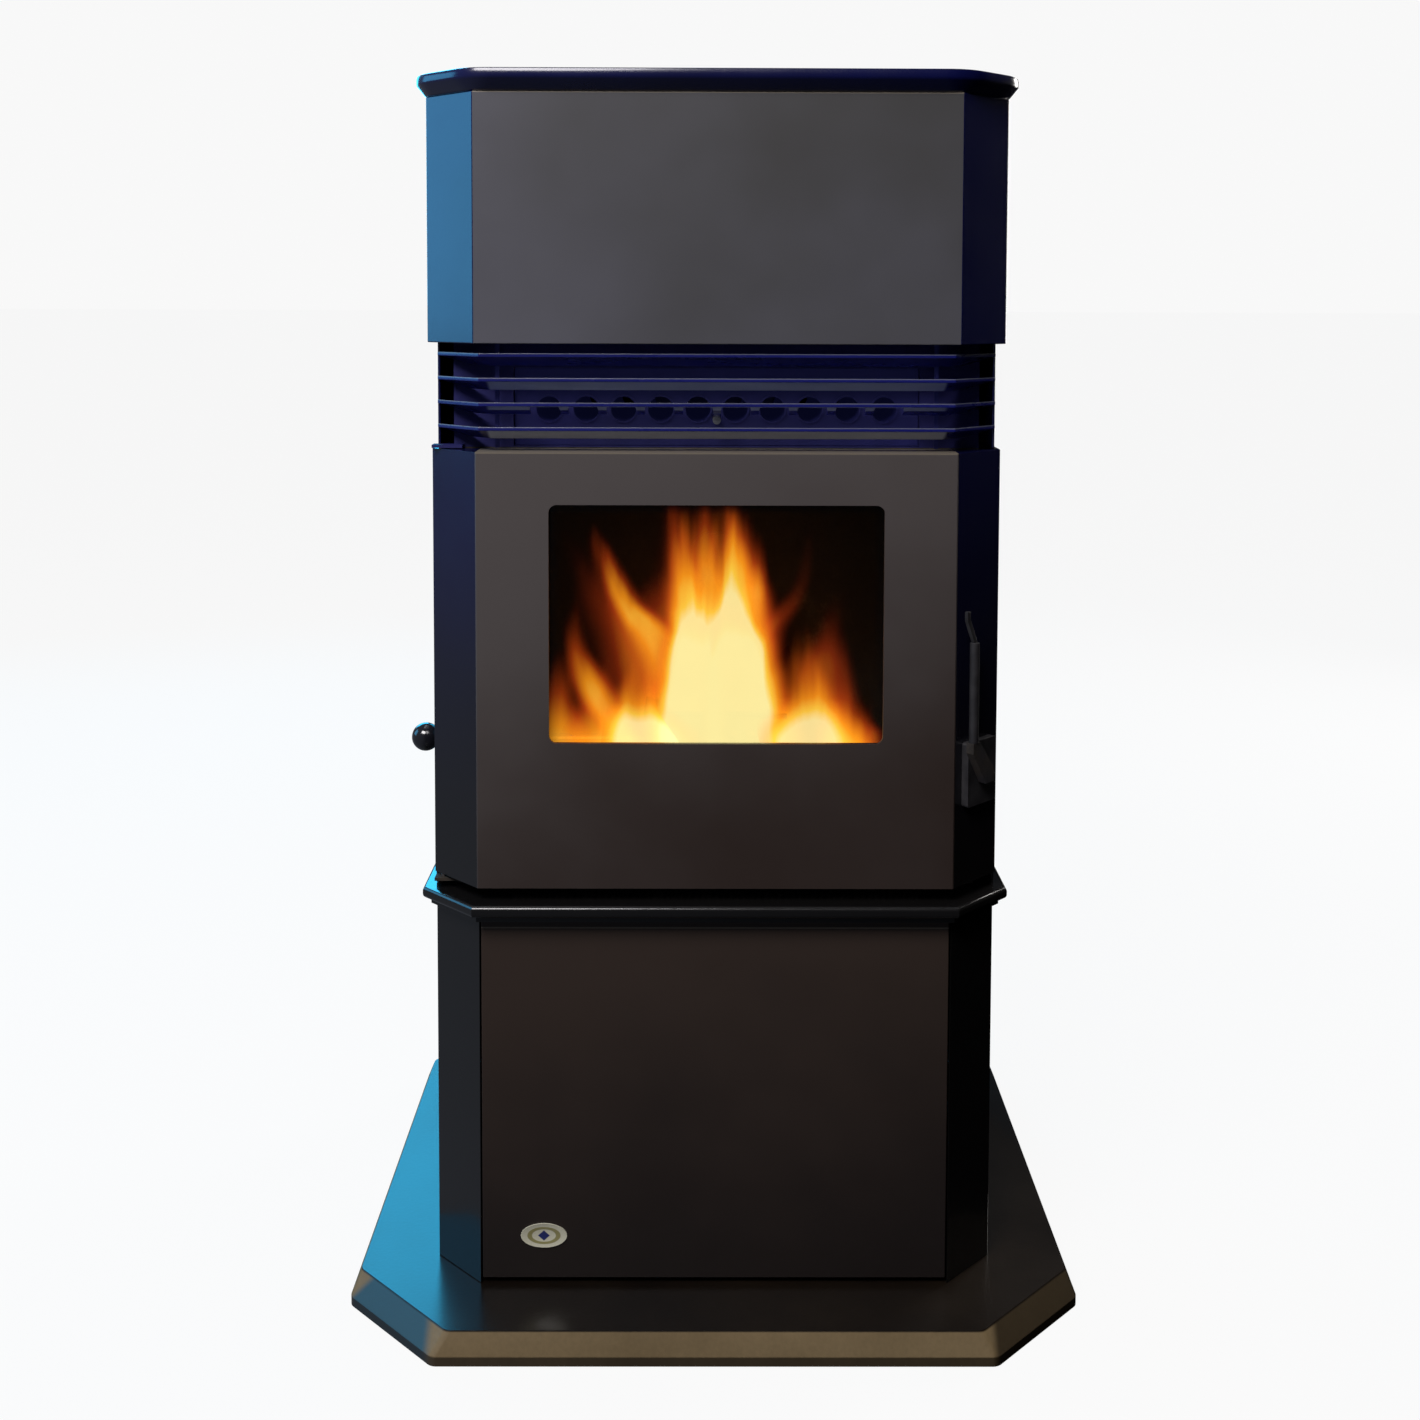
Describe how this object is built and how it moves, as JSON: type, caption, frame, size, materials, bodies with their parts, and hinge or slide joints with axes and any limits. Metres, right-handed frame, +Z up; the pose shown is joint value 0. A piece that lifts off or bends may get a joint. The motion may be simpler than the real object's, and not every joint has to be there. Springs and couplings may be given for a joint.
{
  "type": "wood pellet stove",
  "caption": "Free-standing pellet-burning room heater with a bay door and window, louvred air outlet, top hopper, ash drawer and hearth plate.",
  "frame": {"origin": "centre of the hearth plate's underside, on the floor", "axes": "+X to the stove's right side as seen from the front, +Y from the front to the back, +Z up"},
  "size_m": [0.729, 0.619, 1.2255],
  "materials": {
    "enamel_blue": "gloss midnight-blue stove enamel",
    "panel_black": "satin charcoal stove paint",
    "cast_base": "satin dark brown-black paint",
    "bare_steel": "mill-finish sheet steel",
    "heat_steel": "heat-darkened steel",
    "cast_iron": "rough cast iron",
    "firebrick": "porous firebrick",
    "glass": "heat-proof ceramic glass, lightly smoked",
    "rope": "woven glass-fibre rope",
    "black_plastic": "gloss black phenolic",
    "grip_black": "matt black heat-proof grip",
    "badge_enamel": "cream enamel on a pressed oval plate",
    "zinc": "zinc-plated steel"
  },
  "bodies": {
    "stove": {"hearth_plate": "cast_base", "pedestal_shell": "enamel_blue", "pedestal_back": "panel_black", "ledge_plate": "enamel_blue", "firebox_shell": "heat_steel", "tube_plate": "enamel_blue", "heat_tubes": "enamel_blue", "back_brick": "firebrick", "side_bricks": "firebrick", "baffle_plate": "heat_steel", "burn_pot": "cast_iron", "pot_base": "heat_steel", "air_intake": "bare_steel", "igniter": "heat_steel", "feed_tube": "bare_steel", "auger_motor": "zinc", "hopper_bin": "bare_steel", "exhaust_housing": "zinc", "exhaust_motor": "zinc", "flue_collar": "bare_steel", "blower_housing": "zinc", "blower_motor": "zinc", "side_panel_left": "enamel_blue", "side_panel_right": "enamel_blue", "louvre_sides": "enamel_blue", "louvre_blade_1": "enamel_blue", "louvre_blade_2": "enamel_blue", "louvre_blade_3": "enamel_blue", "louvre_blade_4": "enamel_blue", "louvre_posts": "enamel_blue", "upper_casing": "enamel_blue", "top_rim": "enamel_blue", "top_plate": "enamel_blue", "lid_hinge_pin": "bare_steel", "rear_cover": "panel_black", "power_inlet": "black_plastic", "cover_screws": "zinc", "control_box": "panel_black", "door_catch": "heat_steel"},
    "door": {"door_shell": "enamel_blue", "glass_gasket": "rope", "door_glass": "glass", "glass_retainer": "bare_steel", "door_rope": "rope", "hinge_pins": "bare_steel", "latch_block": "grip_black"},
    "latch": {"latch_shaft": "heat_steel", "latch_handle": "grip_black"},
    "drawer": {"drawer_front": "panel_black", "ash_pan": "bare_steel", "badge": "badge_enamel"},
    "lid": {"hopper_lid": "enamel_blue"},
    "scraper": {"tube_scraper": "bare_steel"},
    "grate": {"grate_slide": "bare_steel", "grate_knob": "black_plastic"},
    "auger": {"auger_screw": "bare_steel"},
    "exhaust_fan": {"exhaust_impeller": "zinc"},
    "blower_fan": {"blower_impeller": "zinc"},
    "heat_knob": {"heat_knob": "black_plastic"},
    "power_button": {"power_button": "black_plastic"}
  },
  "joints": [
    {"name": "door_hinge", "type": "hinge", "parent": "stove", "child": "door", "pos_m": [-0.272, -0.1705, 0.649], "axis": [0, 0, -1], "range_deg": [0, 105]},
    {"name": "latch_turn", "type": "hinge", "parent": "door", "child": "latch", "pos_m": [0.25625, -0.19125, 0.545], "axis": [0.7071, -0.7071, 0], "range_deg": [0, 90]},
    {"name": "drawer_slide", "type": "slide", "parent": "stove", "child": "drawer", "axis": [0, -1, 0], "range_m": [0, 0.3]},
    {"name": "lid_hinge", "type": "hinge", "parent": "stove", "child": "lid", "pos_m": [0, 0.248, 1.2195], "axis": [-1, 0, 0], "range_deg": [0, 80]},
    {"name": "scraper_slide", "type": "slide", "parent": "stove", "child": "scraper", "axis": [0, -1, 0], "range_m": [0, 0.12]},
    {"name": "grate_slide", "type": "slide", "parent": "stove", "child": "grate", "axis": [-1, 0, 0], "range_m": [0, 0.08]},
    {"name": "auger_spin", "type": "hinge", "parent": "stove", "child": "auger", "pos_m": [0, 0.068, 0.72], "axis": [0, 1, 0], "continuous": true},
    {"name": "exhaust_spin", "type": "hinge", "parent": "stove", "child": "exhaust_fan", "pos_m": [-0.12, 0.092, 0.5], "axis": [0, 1, 0], "continuous": true},
    {"name": "blower_spin", "type": "hinge", "parent": "stove", "child": "blower_fan", "pos_m": [0.055, 0.199, 0.15], "axis": [1, 0, 0], "continuous": true},
    {"name": "heat_turn", "type": "hinge", "parent": "stove", "child": "heat_knob", "pos_m": [0.281, 0.184, 0.8], "axis": [1, 0, 0], "range_deg": [0, 270]},
    {"name": "button_press", "type": "slide", "parent": "stove", "child": "power_button", "axis": [-1, 0, 0], "range_m": [0, 0.0025], "stiffness_N_per_m": 300}
  ]
}
